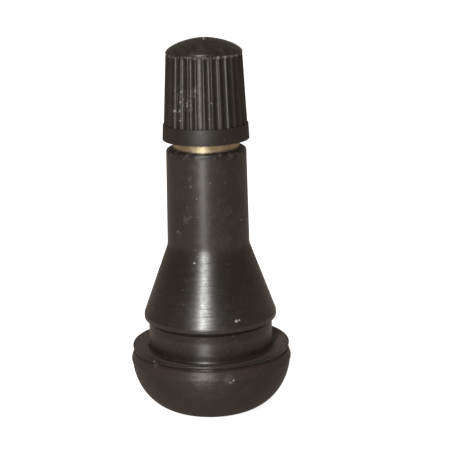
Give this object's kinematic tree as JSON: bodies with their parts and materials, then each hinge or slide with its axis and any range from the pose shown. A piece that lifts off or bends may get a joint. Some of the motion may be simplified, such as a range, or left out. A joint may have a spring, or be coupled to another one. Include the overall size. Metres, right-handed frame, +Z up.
{
  "type": "tyre valve",
  "caption": "Snap-in rubber tyre valve with a brass stem, a screwed spring-loaded core and a ribbed plastic cap, standing on its base.",
  "frame": {"origin": "centre of the flat under the rubber base", "axes": "+Z up along the stem, from the base to the cap's dome; X and Y are alike, because the part is round"},
  "size_m": [0.019, 0.019, 0.044],
  "materials": {
    "body_rubber": "semi-matt moulded rubber",
    "stem_brass": "turned",
    "cap_plastic": "moulded, slightly glossy",
    "seal_rubber": "matt",
    "core_brass": "turned",
    "gasket_red": "smooth",
    "spring_steel": "drawn wire"
  },
  "bodies": {
    "valve_body": {"rubber_body": "body_rubber", "brass_stem": "stem_brass"},
    "seal_ring": {"cap_seal": "seal_rubber"},
    "cap": {"valve_cap": "cap_plastic"},
    "barrel": {"core_barrel": "core_brass", "core_gasket": "gasket_red", "core_spring": "spring_steel"},
    "plug": {"core_plug": "core_brass"},
    "pin": {"core_pin": "core_brass", "pin_collar": "core_brass", "pin_cup": "core_brass", "cup_washer": "seal_rubber"}
  },
  "joints": [
    {"name": "cap_lift", "type": "slide", "parent": "valve_body", "child": "seal_ring", "axis": [0, 0, 1], "range_m": [0, 0.00873]},
    {"name": "cap_turn", "type": "hinge", "parent": "seal_ring", "child": "cap", "pos_m": [0, 0, 0.0324], "axis": [0, 0, 1], "range_deg": [0, 3960]},
    {"name": "core_lift", "type": "slide", "parent": "valve_body", "child": "barrel", "axis": [0, 0, 1], "range_m": [0, 0.00212]},
    {"name": "core_turn", "type": "hinge", "parent": "barrel", "child": "plug", "pos_m": [0, 0, 0.0352], "axis": [0, 0, 1], "range_deg": [0, 1080]},
    {"name": "pin_press", "type": "slide", "parent": "barrel", "child": "pin", "axis": [0, 0, -1], "range_m": [0, 0.0015], "stiffness_N_per_m": 1200, "deforming": ["core_spring"]}
  ],
  "couplings": [
    {"joint": "cap_turn", "follows": "cap_lift", "rad_per_m": 7915.8},
    {"joint": "core_turn", "follows": "core_lift", "rad_per_m": 8904.7}
  ]
}
